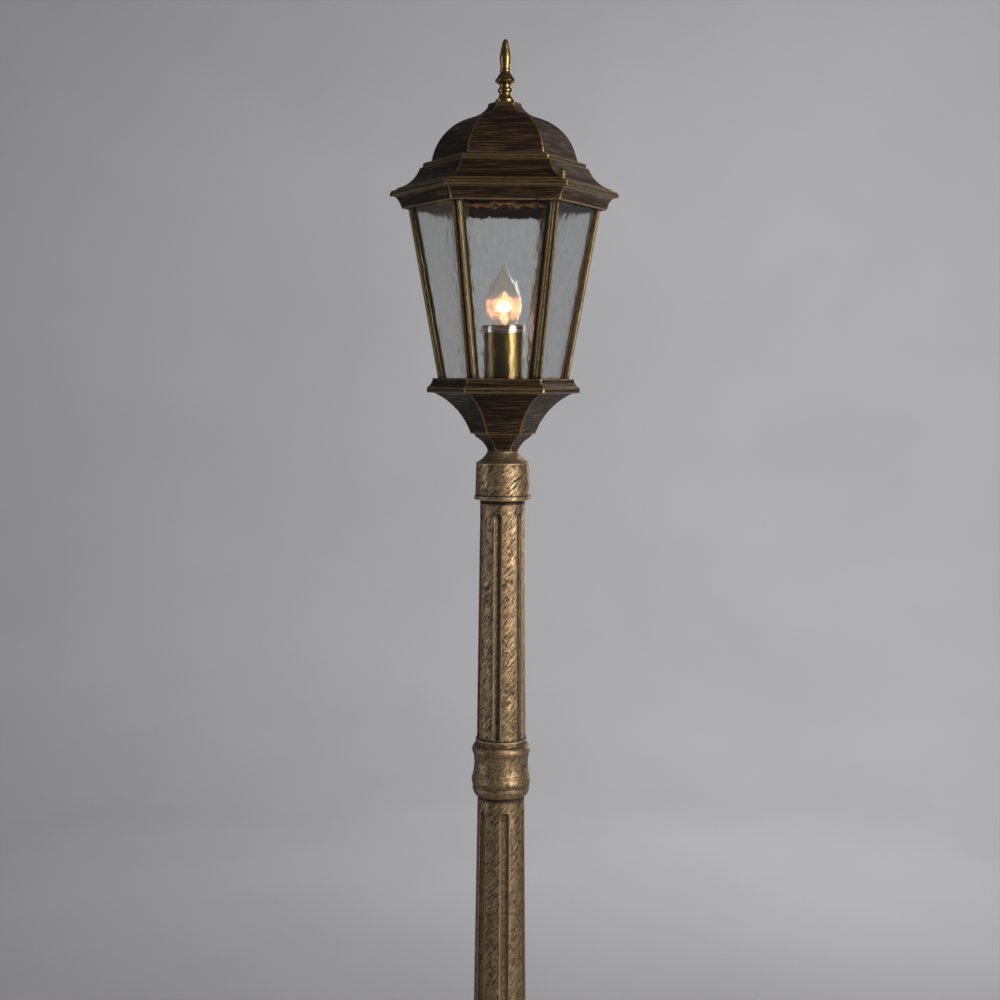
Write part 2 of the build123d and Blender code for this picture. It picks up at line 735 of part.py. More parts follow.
# --- Finial: turned brass, on a stud through the roof's cap ------------------------------------
finial_bottom = roof_top
with BuildSketch() as finial_section:
    with BuildLine():
        Polyline((0, finial_bottom), (9.7, finial_bottom), (9.7, finial_bottom + 3.4))
        ThreePointArc(
            (9.7, finial_bottom + 3.4), (6.9, finial_bottom + 5.8), (5.9, finial_bottom + 10.2)
        )
        ThreePointArc(
            (5.9, finial_bottom + 10.2), (7.4, finial_bottom + 12.7), (5.6, finial_bottom + 15.3)
        )
        Polyline(
            (5.6, finial_bottom + 15.3), (5.5, finial_bottom + 18.2),
            (9.9, finial_bottom + 21.0), (10.4, finial_bottom + 21.9),
        )
        ThreePointArc(
            (10.4, finial_bottom + 21.9), (7.9, finial_bottom + 25.8), (4.7, finial_bottom + 30.3)
        )
        ThreePointArc(
            (4.7, finial_bottom + 30.3), (5.45, finial_bottom + 32.1), (4.6, finial_bottom + 33.8)
        )
        Spline(
            (4.6, finial_bottom + 33.8), (5.1, finial_bottom + 37.5),
            (5.75, finial_bottom + 44.5), (4.2, finial_bottom + 54),
            (0, finial_bottom + finial_height),
            tangents=((0.2, 1), (-1, 0.25)),
        )
        Line((0, finial_bottom + finial_height), (0, finial_bottom))
    make_face()
with BuildPart() as finial:
    add(turned(finial_section.sketch))
    with Locations((0, 0, finial_bottom)):
        Cylinder(
            finial_stud_radius + running, finial_stud_depth + 0.4,
            align=(Align.CENTER, Align.CENTER, Align.MIN),
            mode=Mode.SUBTRACT,
        )
save(finial.part, "finial")

stud_low = roof_top - cap_thickness - finial_nut_height - 6
with BuildPart() as finial_stud:
    with Locations((0, 0, stud_low)):
        Cylinder(
            finial_stud_radius, roof_top + finial_stud_depth - stud_low,
            align=(Align.CENTER, Align.CENTER, Align.MIN),
        )
save(finial_stud.part, "finial_stud")
finial_nut = hex_nut(
    finial_nut_flats, finial_stud_radius + running, finial_nut_height,
    roof_top - cap_thickness - finial_nut_height,
)
save(finial_nut, "finial_nut")

# --- Lampholder, candle sleeve and its ring ----------------------------------------------------
sleeve_bore = sleeve_radius - sleeve_wall
sleeve_top = plate_level + sleeve_height
save(tube(sleeve_radius, sleeve_bore, plate_level, sleeve_top), "candle_sleeve")

ring_opening = bulb_radius + 0.8
with BuildPart() as sleeve_ring:
    with BuildSketch(Plane.XY.offset(sleeve_top)):
        Circle(sleeve_ring_radius)
        Circle(ring_opening, mode=Mode.SUBTRACT)
    extrude(amount=sleeve_ring_height)
    fillet(sleeve_ring.edges().group_by(Axis.Z)[-1], 1.2)
save(sleeve_ring.part, "sleeve_ring")

shell_bore = bulb_cap_radius + 1.0
shell_radius = shell_bore + holder_shell_wall
holder_floor = holder_bottom + 11
holder_radius = sleeve_bore - 0.7
with BuildPart() as lampholder_body:
    with Locations((0, 0, holder_bottom)):
        Cylinder(
            holder_radius, holder_height, align=(Align.CENTER, Align.CENTER, Align.MIN)
        )
        Cylinder(
            pipe_hole, holder_height, align=(Align.CENTER, Align.CENTER, Align.MIN),
            mode=Mode.SUBTRACT,
        )
    with Locations((0, 0, holder_floor)):
        Cylinder(
            shell_radius + fit, holder_height, align=(Align.CENTER, Align.CENTER, Align.MIN),
            mode=Mode.SUBTRACT,
        )
save(lampholder_body.part, "lampholder_body")

bulb_bottom = holder_floor + 3.5
save(tube(shell_radius, shell_bore, holder_floor + 2, holder_floor + 26), "lampholder_shell")
with BuildPart() as lampholder_contact:
    with Locations((0, 0, holder_floor)):
        Cylinder(8, 0.8, align=(Align.CENTER, Align.CENTER, Align.MIN))
        Cylinder(3, 3.5 - lift_gap, align=(Align.CENTER, Align.CENTER, Align.MIN))
save(lampholder_contact.part, "lampholder_contact")

# --- Candle bulb: contact, insulator, screw cap, envelope, stem, leads and filament ------------
cap_bottom = bulb_bottom + 3
cap_top = bulb_bottom + bulb_cap_height
bulb_tip = bulb_bottom + bulb_length
contact_top = bulb_bottom + bulb_contact_height
save(tube(bulb_contact_radius, bulb_contact_bore, bulb_bottom, contact_top), "bulb_contact")

with BuildSketch() as insulator_section:
    Polygon(
        (0, contact_top), (5, contact_top), (bulb_cap_radius - 2.4, cap_bottom),
        (0, cap_bottom), align=None,
    )
save(turned(insulator_section.sketch), "bulb_insulator")

thread_pitch = 3.6
thread_depth = 0.9
with BuildPart() as bulb_cap:
    with BuildSketch(Plane.XY.offset(cap_bottom)):
        Circle(bulb_cap_radius)
        Circle(bulb_cap_radius - 1.8, mode=Mode.SUBTRACT)
    extrude(amount=cap_top - cap_bottom)
    for turn_number in range(4):
        with BuildSketch(Plane.XZ):
            with Locations((bulb_cap_radius, cap_bottom + 3 + turn_number * thread_pitch)):
                Circle(thread_depth)
        revolve(axis=Axis.Z, mode=Mode.SUBTRACT)
save(bulb_cap.part, "bulb_cap")


def flame_outline(wall):
    """Half of the candle envelope's outline, moved inwards by a wall."""
    neck = bulb_cap_radius - 1.8 - fit - wall
    with BuildLine() as outline:
        Line((0, cap_top - 3), (neck, cap_top - 3))
        Line((neck, cap_top - 3), (neck, cap_top + 1))
        Spline(
            (neck, cap_top + 1), (bulb_radius - wall, bulb_bottom + 0.54 * bulb_length),
            (0.45 * bulb_radius - 0.8 * wall, bulb_bottom + 0.86 * bulb_length - wall),
            (0.07 * bulb_radius, bulb_tip - 0.6 - 2 * wall),
            tangents=((0.1, 1), (-0.35, 1)),
        )
        Line(
            (0.07 * bulb_radius, bulb_tip - 0.6 - 2 * wall), (0, bulb_tip - 2 * wall)
        )
        Line((0, bulb_tip - 2 * wall), (0, cap_top - 3))
    return outline.line


with BuildSketch() as envelope_section:
    make_face(flame_outline(0))
    make_face(flame_outline(bulb_glass_wall), mode=Mode.SUBTRACT)
save(turned(envelope_section.sketch), "bulb_glass")

stem_top = cap_top + 15
with BuildSketch() as stem_section:
    with BuildLine():
        Polyline((0, cap_top - 3), (8, cap_top - 3), (8, cap_top - 2))
        ThreePointArc((8, cap_top - 2), (4, cap_top + 1.5), (2.8, cap_top + 6))
        Polyline((2.8, cap_top + 6), (2.6, stem_top), (0, stem_top), (0, cap_top - 3))
    make_face()
save(turned(stem_section.sketch), "bulb_stem")

filament_level = stem_top + 9
filament_span = 6.0
lead_radius = 0.4
with BuildPart() as bulb_lead_wires:
    for way in (-1, 1):
        with BuildLine() as lead:
            Line((way * 1.4, 0, stem_top + lead_radius), (way * filament_span, 0, filament_level))
        with BuildSketch(Plane(origin=lead.line @ 0, z_dir=lead.line % 0)):
            Circle(lead_radius)
        sweep()
save(bulb_lead_wires.part, "bulb_lead_wires")

with BuildPart() as bulb_filament:
    with BuildLine() as coil:
        FilletPolyline(
            (-filament_span, 0, filament_level + 0.5), (-0.35 * filament_span, 0, filament_level + 5),
            (0.35 * filament_span, 0, filament_level + 5), (filament_span, 0, filament_level + 0.5),
            radius=1.2,
        )
    with BuildSketch(Plane(origin=coil.line @ 0, z_dir=coil.line % 0)):
        Circle(0.55)
    sweep()
save(bulb_filament.part, "bulb_filament")

# --- Inner cable: supply terminals to lampholder, up the middle of the whole post --------------
cable_bottom = block_bottom + block_height
cable_top = holder_floor - 1.5
with BuildPart() as inner_cable:
    with BuildSketch(Plane.XY.offset(cable_bottom)):
        Circle(cable_radius)
    extrude(amount=cable_top - cable_bottom)
save(inner_cable.part, "inner_cable")

print(f"total height {total_height:.1f}, pane lean {degrees(pane_lean):.2f} degrees")
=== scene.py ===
# %% [markdown]
# # Dressing a street lamp post
# The design of the lamp post comes in as a fixed frame: castings, panes, fasteners and bulb, all at
# their real size in metres. This lesson gives that frame its looks. Pieces whose shape is already
# right only get a finish. Pieces that need more than the design holds, such as the rippled glass,
# are modelled here and ride on the bodies of the frame.

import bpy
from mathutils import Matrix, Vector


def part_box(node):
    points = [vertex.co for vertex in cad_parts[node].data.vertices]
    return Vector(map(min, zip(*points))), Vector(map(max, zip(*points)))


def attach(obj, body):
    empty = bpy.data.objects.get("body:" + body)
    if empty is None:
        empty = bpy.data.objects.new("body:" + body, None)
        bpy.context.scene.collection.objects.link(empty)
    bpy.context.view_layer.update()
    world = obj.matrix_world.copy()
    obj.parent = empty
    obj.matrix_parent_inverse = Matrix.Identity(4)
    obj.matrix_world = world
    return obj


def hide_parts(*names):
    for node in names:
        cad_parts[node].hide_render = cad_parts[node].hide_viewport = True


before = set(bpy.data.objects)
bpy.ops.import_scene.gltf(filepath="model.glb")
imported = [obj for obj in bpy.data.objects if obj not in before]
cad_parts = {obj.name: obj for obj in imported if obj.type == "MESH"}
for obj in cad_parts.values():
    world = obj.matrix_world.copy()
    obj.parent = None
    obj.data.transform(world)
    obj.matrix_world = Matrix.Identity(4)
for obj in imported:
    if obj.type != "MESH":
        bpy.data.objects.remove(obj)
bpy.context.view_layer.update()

# %% [markdown]
# ## Units and two small helpers
# Real sizes are easiest to think of in millimetres, so every size below is written times MM.
# A colour is written as the sRGB hex code that a colour picker shows, and one function turns it
# into the linear values that a shader works in. One more function adds a node to a material with
# its settings and links, so that each finish below reads as a short recipe.

# %% Helpers
import math

import bmesh
import bpy
from mathutils import Matrix, Vector, noise

MM = 0.001
FACTOR, FIRST, SECOND, MIXED = 0, 6, 7, 2  # sockets of a colour Mix node, and its result
TIMES = {"operation": "MULTIPLY", "use_clamp": True}    # settings of a Math node on two masks
LARGER = {"operation": "MAXIMUM", "use_clamp": True}


def linear(hex_code, alpha=1.0):
    """An sRGB hex colour as linear red, green, blue and alpha."""
    channels = [int(hex_code[i:i + 2], 16) / 255 for i in (1, 3, 5)]
    return (*[c / 12.92 if c < 0.04045 else ((c + 0.055) / 1.055) ** 2.4 for c in channels], alpha)


def add_node(tree, kind, inputs=None, **settings):
    """Adds a shader node; an input is given a socket to link or a plain value to hold."""
    node = tree.nodes.new("ShaderNode" + kind)
    for name, value in settings.items():
        setattr(node, name, value)
    for socket, value in (inputs or {}).items():
        if isinstance(value, bpy.types.NodeSocket):
            tree.links.new(value, node.inputs[socket])
        else:
            node.inputs[socket].default_value = value
    return node


print("antique gold in linear values:", [round(c, 3) for c in linear("#C4AA82")])

# %% [markdown]
# ## The studio
# A pale round cove, floor and wall in one sweep, has no corner that could show, whichever side the
# lamp is looked at from. Its section is drawn once, as a vertex turned through a quarter circle and
# run on in both directions, and then spun round the post's axis.

# %% Floor and wall in one sweep
FLOOR_RADIUS = 4.4
SWEEP_RADIUS = 2.6
WALL_TOP = 9.0


def new_piece(name, mesh_maker):
    """Links a new, smooth mesh object at the origin; mesh_maker fills the bmesh it is given."""
    mesh = bpy.data.meshes.new(name)
    bm = bmesh.new()
    mesh_maker(bm)
    bm.to_mesh(mesh)
    bm.free()
    mesh.shade_smooth()
    piece = bpy.data.objects.new(name, mesh)
    bpy.context.scene.collection.objects.link(piece)
    return piece


def studio_sweep(bm):
    foot = bmesh.ops.create_vert(bm, co=(FLOOR_RADIUS, 0, -0.5 * MM))["vert"][0]
    bmesh.ops.spin(
        bm, geom=[foot], cent=(FLOOR_RADIUS, 0, SWEEP_RADIUS), axis=(0, -1, 0),
        angle=math.pi / 2, steps=16,
    )
    head = max(bm.verts, key=lambda v: v.co.z)
    wall = bmesh.ops.extrude_vert_indiv(bm, verts=[head])["verts"][0]
    wall.co.z = WALL_TOP
    middle = bmesh.ops.extrude_vert_indiv(bm, verts=[foot])["verts"][0]
    middle.co.x = 0
    bmesh.ops.spin(
        bm, geom=bm.verts[:] + bm.edges[:], cent=(0, 0, 0), axis=(0, 0, 1), angle=math.tau,
        steps=96, use_merge=True,
    )
    bmesh.ops.remove_doubles(bm, verts=bm.verts[:], dist=0.001 * MM)
    bmesh.ops.recalc_face_normals(bm, faces=bm.faces[:])


studio = new_piece("studio_sweep", studio_sweep)
print("studio faces:", len(studio.data.polygons))

# %% [markdown]
# ## Lights on the post
# Metal shows what it reflects, so a turned post needs tall lights. A bright one stands to the front
# right and draws the broad bright stripe down the post. A weak one on the left lifts the dark side,
# and a narrow one behind on the right draws a thin rim.

# %% Tall lights
POST_LIGHTS = {
    # name: (bearing from the front, distance, height, width, length, watts, colour)
    "key_light": (48, 2.6, 2.05, 0.5, 2.2, 110, "#FFF6EA"),
    "fill_light": (-78, 2.2, 1.65, 0.4, 2.0, 15, "#F8F4FF"),
    "rim_light": (150, 2.4, 1.90, 0.3, 2.0, 15, "#FFF4E6"),
}


def soft_light(name, bearing, distance, height, width, length, watts, colour):
    """A rectangular light that faces the post's axis at its own height."""
    data = bpy.data.lights.new(name, "AREA")
    data.shape, data.size, data.size_y = "RECTANGLE", width, length
    data.energy, data.color = watts, linear(colour)[:3]
    lamp = bpy.data.objects.new(name, data)
    bpy.context.scene.collection.objects.link(lamp)
    turn = math.radians(bearing)
    lamp.location = (distance * math.sin(turn), -distance * math.cos(turn), height)
    lamp.rotation_euler = (math.pi / 2, 0, turn)
    lamp.visible_camera = False
    return lamp


for name, facts in POST_LIGHTS.items():
    soft_light(name, *facts)
print("lights on the post:", ", ".join(POST_LIGHTS))

# %% [markdown]
# ## Lights on the sweep
# The paper behind the post isn't evenly grey: it is brightest low on the right and falls off to the
# upper left. Three more lights turn their back on the post and shine outwards and down at the
# sweep. A wide one washes the wall behind the post, a square one sets the pool on its right, and a
# weak wide one lights the sweep on the near side, which the metal reflects and which stands behind
# the post when it is looked at from the other side.

# %% Wall lights
WALL_LIGHTS = {
    # name: (degrees downwards, bearing, distance, height, width, length, watts, colour)
    "wall_pool": (20, 156, 2.9, 3.0, 1.4, 1.4, 96, "#FFFFFF"),
    "wall_wash": (40, 180, 2.6, 3.6, 3.0, 0.8, 84, "#FFFFFF"),
    "front_wash": (40, 0, 2.6, 3.6, 3.0, 0.8, 26, "#FFFFFF"),
}
for name, (downwards, *facts) in WALL_LIGHTS.items():
    wall_light = soft_light(name, *facts)
    wall_light.rotation_euler.x -= math.radians(downwards)
    wall_light.rotation_euler.z += math.pi
print("lights on the sweep:", ", ".join(WALL_LIGHTS))

# %% [markdown]
# ## Air and view
# A faint, even grey from all round stands for a room's own light. The view is Standard, which shows
# a colour as its hex code says, because a view that rolls off like film would lift the black paint.

# %% World and view
ROOM_GREY = "#DADCE2"
ROOM_LIGHT = 0.14

world = bpy.data.worlds.new("studio_air")
world.use_nodes = True
bpy.context.scene.world = world
world.node_tree.nodes["Background"].inputs["Color"].default_value = linear(ROOM_GREY)
world.node_tree.nodes["Background"].inputs["Strength"].default_value = ROOM_LIGHT
bpy.context.scene.view_settings.view_transform = "Standard"
print("view:", bpy.context.scene.view_settings.view_transform)

# %% [markdown]
# ## The camera
# The camera stands a metre and a half in front of the post, a little below the lantern's middle,
# and looks slightly down. The roof then hides the inside of the dome, and the bowl shows its tray
# from just above. It is two centimetres left of square, so the lantern isn't quite symmetric, and
# it leans a third of a degree, as a camera in the hand does.

# %% Camera
CAMERA_DISTANCE = 1.5089
CAMERA_HEIGHT = 1.7183
CAMERA_BEARING = math.radians(-0.79)
CAMERA_DOWN = math.radians(4.813)
CAMERA_ROLL = math.radians(0.347)
LENS_MM = 53.58
SENSOR_MM = 36.0
LENS_SHIFT = -0.00269   # share of the sensor's width

camera_data = bpy.data.cameras.new("studio_camera")
camera_data.lens = LENS_MM
camera_data.sensor_width = SENSOR_MM
camera_data.shift_x = LENS_SHIFT
camera = bpy.data.objects.new("studio_camera", camera_data)
bpy.context.scene.collection.objects.link(camera)
bpy.context.scene.camera = camera
camera.matrix_world = (
    Matrix.Rotation(CAMERA_BEARING, 4, "Z")
    @ Matrix.Translation((0, -CAMERA_DISTANCE, CAMERA_HEIGHT))
    @ Matrix.Rotation(math.pi / 2 - CAMERA_DOWN, 4, "X")
    @ Matrix.Rotation(CAMERA_ROLL, 4, "Z")
)
print("camera at", [round(c, 3) for c in camera.matrix_world.translation])

# %% [markdown]
# ## Building blocks of a finish
# Hardly any real surface is one even colour. Three functions give a finish its variety. A pattern
# is noise whose lumps have a real size, long or short along each axis, so it makes bristle streaks
# as well as clouds. Ridges show where rounding an edge would turn the surface, and hollows where
# the air round a point is blocked.

# %% Patterns, ridges and hollows


def new_finish(name):
    """An empty material with its shader, and the object's own coordinates."""
    finish = bpy.data.materials.new(name)
    finish.use_nodes = True
    tree = finish.node_tree
    shader = tree.nodes["Principled BSDF"]
    place = add_node(tree, "TexCoord").outputs["Object"]
    return finish, tree, shader, place


def pattern(tree, place, period, low, high, detail=2.0, offset=0.0):
    """Noise whose lumps have a size in millimetres along x, y and z, as a mask from 0 to 1."""
    scaled = add_node(tree, "Mapping", {
        "Vector": place, "Location": (offset, offset, offset),
        "Scale": tuple(1 / (p * MM) for p in period),
    })
    lumps = add_node(tree, "TexNoise", {
        "Vector": scaled.outputs[0], "Scale": 1.0, "Detail": detail, "Roughness": 0.6,
    })
    return add_node(tree, "MapRange", {
        "Value": lumps.outputs[0], "From Min": low, "From Max": high,
    }, interpolation_type="SMOOTHSTEP").outputs[0]


def ridges(tree, radius, low, high):
    """A mask of the sharp edges, and the surface's direction with those edges rounded."""
    rounded = add_node(tree, "Bevel", {"Radius": radius}, samples=6)
    facing = add_node(tree, "NewGeometry").outputs["Normal"]
    agreement = add_node(
        tree, "VectorMath", {0: rounded.outputs[0], 1: facing}, operation="DOT_PRODUCT"
    )
    turned_by = add_node(tree, "MapRange", {
        "Value": agreement.outputs["Value"], "From Min": 1 - low, "From Max": 1 - high,
    }, interpolation_type="SMOOTHSTEP")
    return turned_by.outputs[0], rounded.outputs[0]


def open_air(tree, distance, low, high):
    """1 where a point is open to the air within a distance, 0 deep in a hollow."""
    blocked = add_node(tree, "AmbientOcclusion", {"Distance": distance}, samples=8)
    return add_node(tree, "MapRange", {
        "Value": blocked.outputs["AO"], "From Min": low, "From Max": high,
    }, interpolation_type="SMOOTHSTEP").outputs[0]


print("patterns, ridges and hollows are ready")

# %% [markdown]
# ## Matt grey paper
# A studio sweep is hung with matt paper or painted board. Its fibres are far too fine to see here,
# so all that shows is a very faint cloudiness, nearly a metre wide.

# %% Finish of the sweep


def matt_paper():
    finish, tree, shader, place = new_finish("matt_grey_paper")
    clouds = pattern(tree, place, (900, 900, 900), 0.2, 0.8)
    sheet = add_node(tree, "Mix", {
        FACTOR: clouds, FIRST: linear("#A3A3A6"), SECOND: linear("#A8A8AB")}, data_type="RGBA")
    tree.links.new(sheet.outputs[MIXED], shader.inputs["Base Color"])
    shader.inputs["Roughness"].default_value = 0.95
    shader.inputs["Specular IOR Level"].default_value = 0.1
    return finish


studio.data.materials.append(matt_paper())
print("finish of the sweep:", studio.data.materials[0].name)

# %% [markdown]
# ## Dry-brushed castings
# The castings are aluminium, painted by hand. Over a brown-black coat, a nearly dry brush with gold
# paint is pulled across the surface. It leaves streaks as wide as a few bristles, and it deposits
# most on whatever stands proud, so ridges turn bright while hollows stay dark. The paint is part
# metal powder, part lacquer, so it is metallic but not polished, and the coat is duller than it.
# One recipe serves the whole lamp post, and each part of it brings its own way of brushing.

# %% Recipe of the painted castings
EDGE_STARTS, EDGE_FULL = 0.004, 0.045   # 1 - cosine: a surface turned by about 5 and 17 degrees
COAT_ROUGHNESS, PAINT_ROUGHNESS = 0.52, 0.36
BRISTLE_DEPTH = 0.10 * MM
BROWN_BLACK = ("#120D0A", "#1B120C")


def painted_casting(name, bristles, coat, gold, worn_gold, gold_share, ridge_radius, hollows):
    """Dark coat, brushed gold and bright ridges; bristles is a function that gives the streaks."""
    finish, tree, shader, place = new_finish(name)
    streaks, grooves = bristles(tree, place)
    ridge, rounded = ridges(tree, ridge_radius, EDGE_STARTS, EDGE_FULL)
    hollow_free = open_air(tree, *hollows)
    loaded = add_node(tree, "Math", {0: streaks, 1: gold_share}, **TIMES).outputs[0]
    brushed = add_node(tree, "Math", {0: loaded, 1: hollow_free}, **TIMES).outputs[0]
    broken = pattern(tree, place, (9, 9, 5), 0.22, 0.50, detail=3)
    proud = add_node(tree, "Math", {0: ridge, 1: hollow_free}, **TIMES).outputs[0]
    edge = add_node(tree, "Math", {0: proud, 1: broken}, **TIMES).outputs[0]
    tone = pattern(tree, place, (60, 60, 40), 0.3, 0.7, offset=3.1)
    coat_tone = add_node(tree, "Mix", {
        FACTOR: tone, FIRST: linear(coat[0]), SECOND: linear(coat[1])}, data_type="RGBA")
    painted = add_node(tree, "Mix", {
        FACTOR: brushed, FIRST: coat_tone.outputs[MIXED], SECOND: linear(gold)}, data_type="RGBA")
    colour = add_node(tree, "Mix", {
        FACTOR: edge, FIRST: painted.outputs[MIXED], SECOND: linear(worn_gold)}, data_type="RGBA")
    metal = add_node(tree, "Math", {0: brushed, 1: edge}, **LARGER).outputs[0]
    roughness = add_node(tree, "MapRange", {
        "Value": metal, "To Min": COAT_ROUGHNESS, "To Max": PAINT_ROUGHNESS}).outputs[0]
    relief = add_node(tree, "Bump", {
        "Height": grooves, "Distance": BRISTLE_DEPTH, "Strength": 0.5, "Normal": rounded})
    tree.links.new(colour.outputs[MIXED], shader.inputs["Base Color"])
    tree.links.new(metal, shader.inputs["Metallic"])
    tree.links.new(roughness, shader.inputs["Roughness"])
    tree.links.new(relief.outputs[0], shader.inputs["Normal"])
    shader.inputs["Specular IOR Level"].default_value = 0.15
    return finish


print("roughness of coat and paint:", COAT_ROUGHNESS, PAINT_ROUGHNESS)

# %% [markdown]
# ## Roof, ring and bowl
# On the lantern, the brush goes along the six sides, so its streaks lie level: a bristle is a
# millimetre high and its stroke some 30 mm long. A second, coarser layer leaves bands with more and
# less paint.

# %% Finish of the lantern


def level_bristles(tree, place):
    fine = pattern(tree, place, (30, 30, 1.0), 0.47, 0.66, detail=3)
    bands = pattern(tree, place, (60, 60, 5), 0.30, 0.62, detail=2, offset=1.7)
    uneven = add_node(tree, "MapRange", {"Value": bands, "To Min": 0.12, "To Max": 1.0}).outputs[0]
    return add_node(tree, "Math", {0: fine, 1: uneven}, **TIMES).outputs[0], fine


antiqued_lantern = painted_casting(
    "dry_brushed_black_coat", level_bristles, BROWN_BLACK, "#665338", "#9C865C",
    gold_share=0.70, ridge_radius=3.0 * MM, hollows=(9 * MM, 0.55, 0.90),
)
print("finish made:", antiqued_lantern.name)

# %% [markdown]
# ## Wiped glazing bars
# The bars are too slim for a brush stroke. Gold is dabbed over their beads and wiped with a cloth,
# so it breaks up into short upright specks, brightest on the beads and gone between them.

# %% Finish of the bars


def upright_specks(tree, place):
    fine = pattern(tree, place, (0.8, 0.8, 3), 0.40, 0.58, detail=3)
    return fine, fine


antiqued_bar = painted_casting(
    "wiped_gold_over_black", upright_specks, BROWN_BLACK, "#75663F", "#C4AE7E",
    gold_share=0.72, ridge_radius=0.8 * MM, hollows=(5 * MM, 0.74, 0.96),
)
print("finish made:", antiqued_bar.name)

# %% [markdown]
# ## Cross-brushed post
# The post was turned under the brush, so its streaks climb round it like a screw thread, one way
# and then the other, and cross. Twisting the coordinates about the axis, more the higher they are,
# turns upright streaks into climbing ones without a seam anywhere. The post carries far more gold
# than the lantern, and its flutes and hollows stay darker. Its bristle marks are half a millimetre
# wide, which is coarser than real bristles, so that they show.

# %% Finish of the post
CLIMB = 34.0         # radians of twist in a metre of height: about 50 degrees steep on the post
BACK_CLIMB = -58.0   # the other way round, and flatter: about 35 degrees


def climbing(tree, place, climb):
    """The coordinates, twisted about the post's axis in proportion to height."""
    height = add_node(tree, "SeparateXYZ", {0: place}).outputs["Z"]
    turn = add_node(tree, "Math", {0: height, 1: -climb}, operation="MULTIPLY").outputs[0]
    return add_node(
        tree, "VectorRotate", {"Vector": place, "Angle": turn}, rotation_type="Z_AXIS"
    ).outputs[0]


def crossed_bristles(tree, place):
    upwards = climbing(tree, place, CLIMB)
    rising = pattern(tree, upwards, (0.45, 0.45, 7), 0.50, 0.60, detail=2)
    falling = pattern(
        tree, climbing(tree, place, BACK_CLIMB), (0.5, 0.5, 5), 0.56, 0.68, detail=2, offset=5.3
    )
    patches = pattern(tree, upwards, (5, 5, 11), 0.18, 0.48, offset=2.2)
    both = add_node(tree, "Math", {0: rising, 1: falling}, **LARGER).outputs[0]
    worn = add_node(tree, "MapRange", {"Value": patches, "To Min": 0.45, "To Max": 1.0}).outputs[0]
    return add_node(tree, "Math", {0: both, 1: worn}, **TIMES).outputs[0], both


antiqued_post = painted_casting(
    "cross_brushed_bronze", crossed_bristles, ("#15100C", "#1F1610"), "#C4AA82", "#DCC8A0",
    gold_share=0.92, ridge_radius=1.0 * MM, hollows=(6 * MM, 0.90, 0.99),
)
print("finish made:", antiqued_post.name)

# %% [markdown]
# ## Metals without paint
# Turned pieces carry the fine rings of the lathe tool, drawn tubes the fine lines of the die, and
# stamped or plated pieces a fine, even grain. All three are narrow noise that varies the roughness
# and tilts the surface a little. Lacquer has yellowed the brass, and it is darker in the hollows
# where no cloth reaches. Real tool marks are finer than half a millimetre, but would not show.

# %% Recipe of the bare metals
LATHE_RINGS = (40, 40, 0.5)   # millimetres: long round the axis, close in height
DIE_LINES = (0.8, 0.8, 60)    # millimetres: close round the axis, long in height
STAMPED_GRAIN = (1.5, 1.5, 1.5)
SMOOTHER, DULLER = 0.06, 0.08  # how far the grain moves the roughness either way
GRAIN_SHARE = 0.35


def bare_metal(name, colours, roughness, period, relief, hollow=None):
    """A metal of two close tones with a fine grain and, if asked, a dark tone in its hollows."""
    finish, tree, shader, place = new_finish(name)
    grain = pattern(tree, place, period, 0.3, 0.7, detail=3)
    cloud = pattern(tree, place, (18, 18, 22), 0.3, 0.7, offset=4.4)
    faint_grain = add_node(tree, "Math", {0: grain, 1: GRAIN_SHARE}, **TIMES).outputs[0]
    mottle = add_node(tree, "Math", {0: faint_grain, 1: cloud}, **LARGER).outputs[0]
    colour = add_node(tree, "Mix", {
        FACTOR: mottle, FIRST: linear(colours[0]), SECOND: linear(colours[1])},
        data_type="RGBA").outputs[MIXED]
    if hollow:
        clear = open_air(tree, 5 * MM, 0.35, 0.85)
        colour = add_node(tree, "Mix", {
            FACTOR: clear, FIRST: linear(hollow), SECOND: colour}, data_type="RGBA").outputs[MIXED]
    dull = add_node(tree, "MapRange", {
        "Value": grain, "To Min": roughness - SMOOTHER, "To Max": roughness + DULLER}).outputs[0]
    rounded = add_node(tree, "Bevel", {"Radius": 0.3 * MM}, samples=4).outputs[0]
    lines = add_node(tree, "Bump", {
        "Height": grain, "Distance": relief, "Strength": 0.6, "Normal": rounded}).outputs[0]
    tree.links.new(colour, shader.inputs["Base Color"])
    tree.links.new(dull, shader.inputs["Roughness"])
    tree.links.new(lines, shader.inputs["Normal"])
    shader.inputs["Metallic"].default_value = 1.0
    return finish


print("the grain moves the roughness by", -SMOOTHER, "to", DULLER)

# %% Brass, nickel and zinc
# Turned and lacquered: bright lines on the beads, brown in the grooves.
polished_gold = bare_metal(
    "turned_brass", ("#6B5B3A", "#8C7950"), 0.34, LATHE_RINGS, 0.02 * MM, hollow="#2A1C0C")
# Drawn tube, satin finished: one soft, upright highlight.
satin_brass = bare_metal(
    "satin_drawn_brass", ("#4A3E28", "#685938"), 0.32, DIE_LINES, 0.03 * MM, hollow="#3A2C14")
# Bright plate: a thin, cool highlight.
nickel_ring = bare_metal(
    "bright_nickel_plate", ("#8E8A82", "#B4B0A8"), 0.22, LATHE_RINGS, 0.01 * MM)
# Zinc over steel: pale blue-grey and a little dull.
zinc_steel = bare_metal(
    "zinc_plated_steel", ("#8D9094", "#B3B6B8"), 0.38, STAMPED_GRAIN, 0.02 * MM)
# Stamped spring brass: a clean yellow.
contact_brass = bare_metal(
    "pressed_contact_brass", ("#A88642", "#C6A35C"), 0.30, STAMPED_GRAIN, 0.02 * MM)
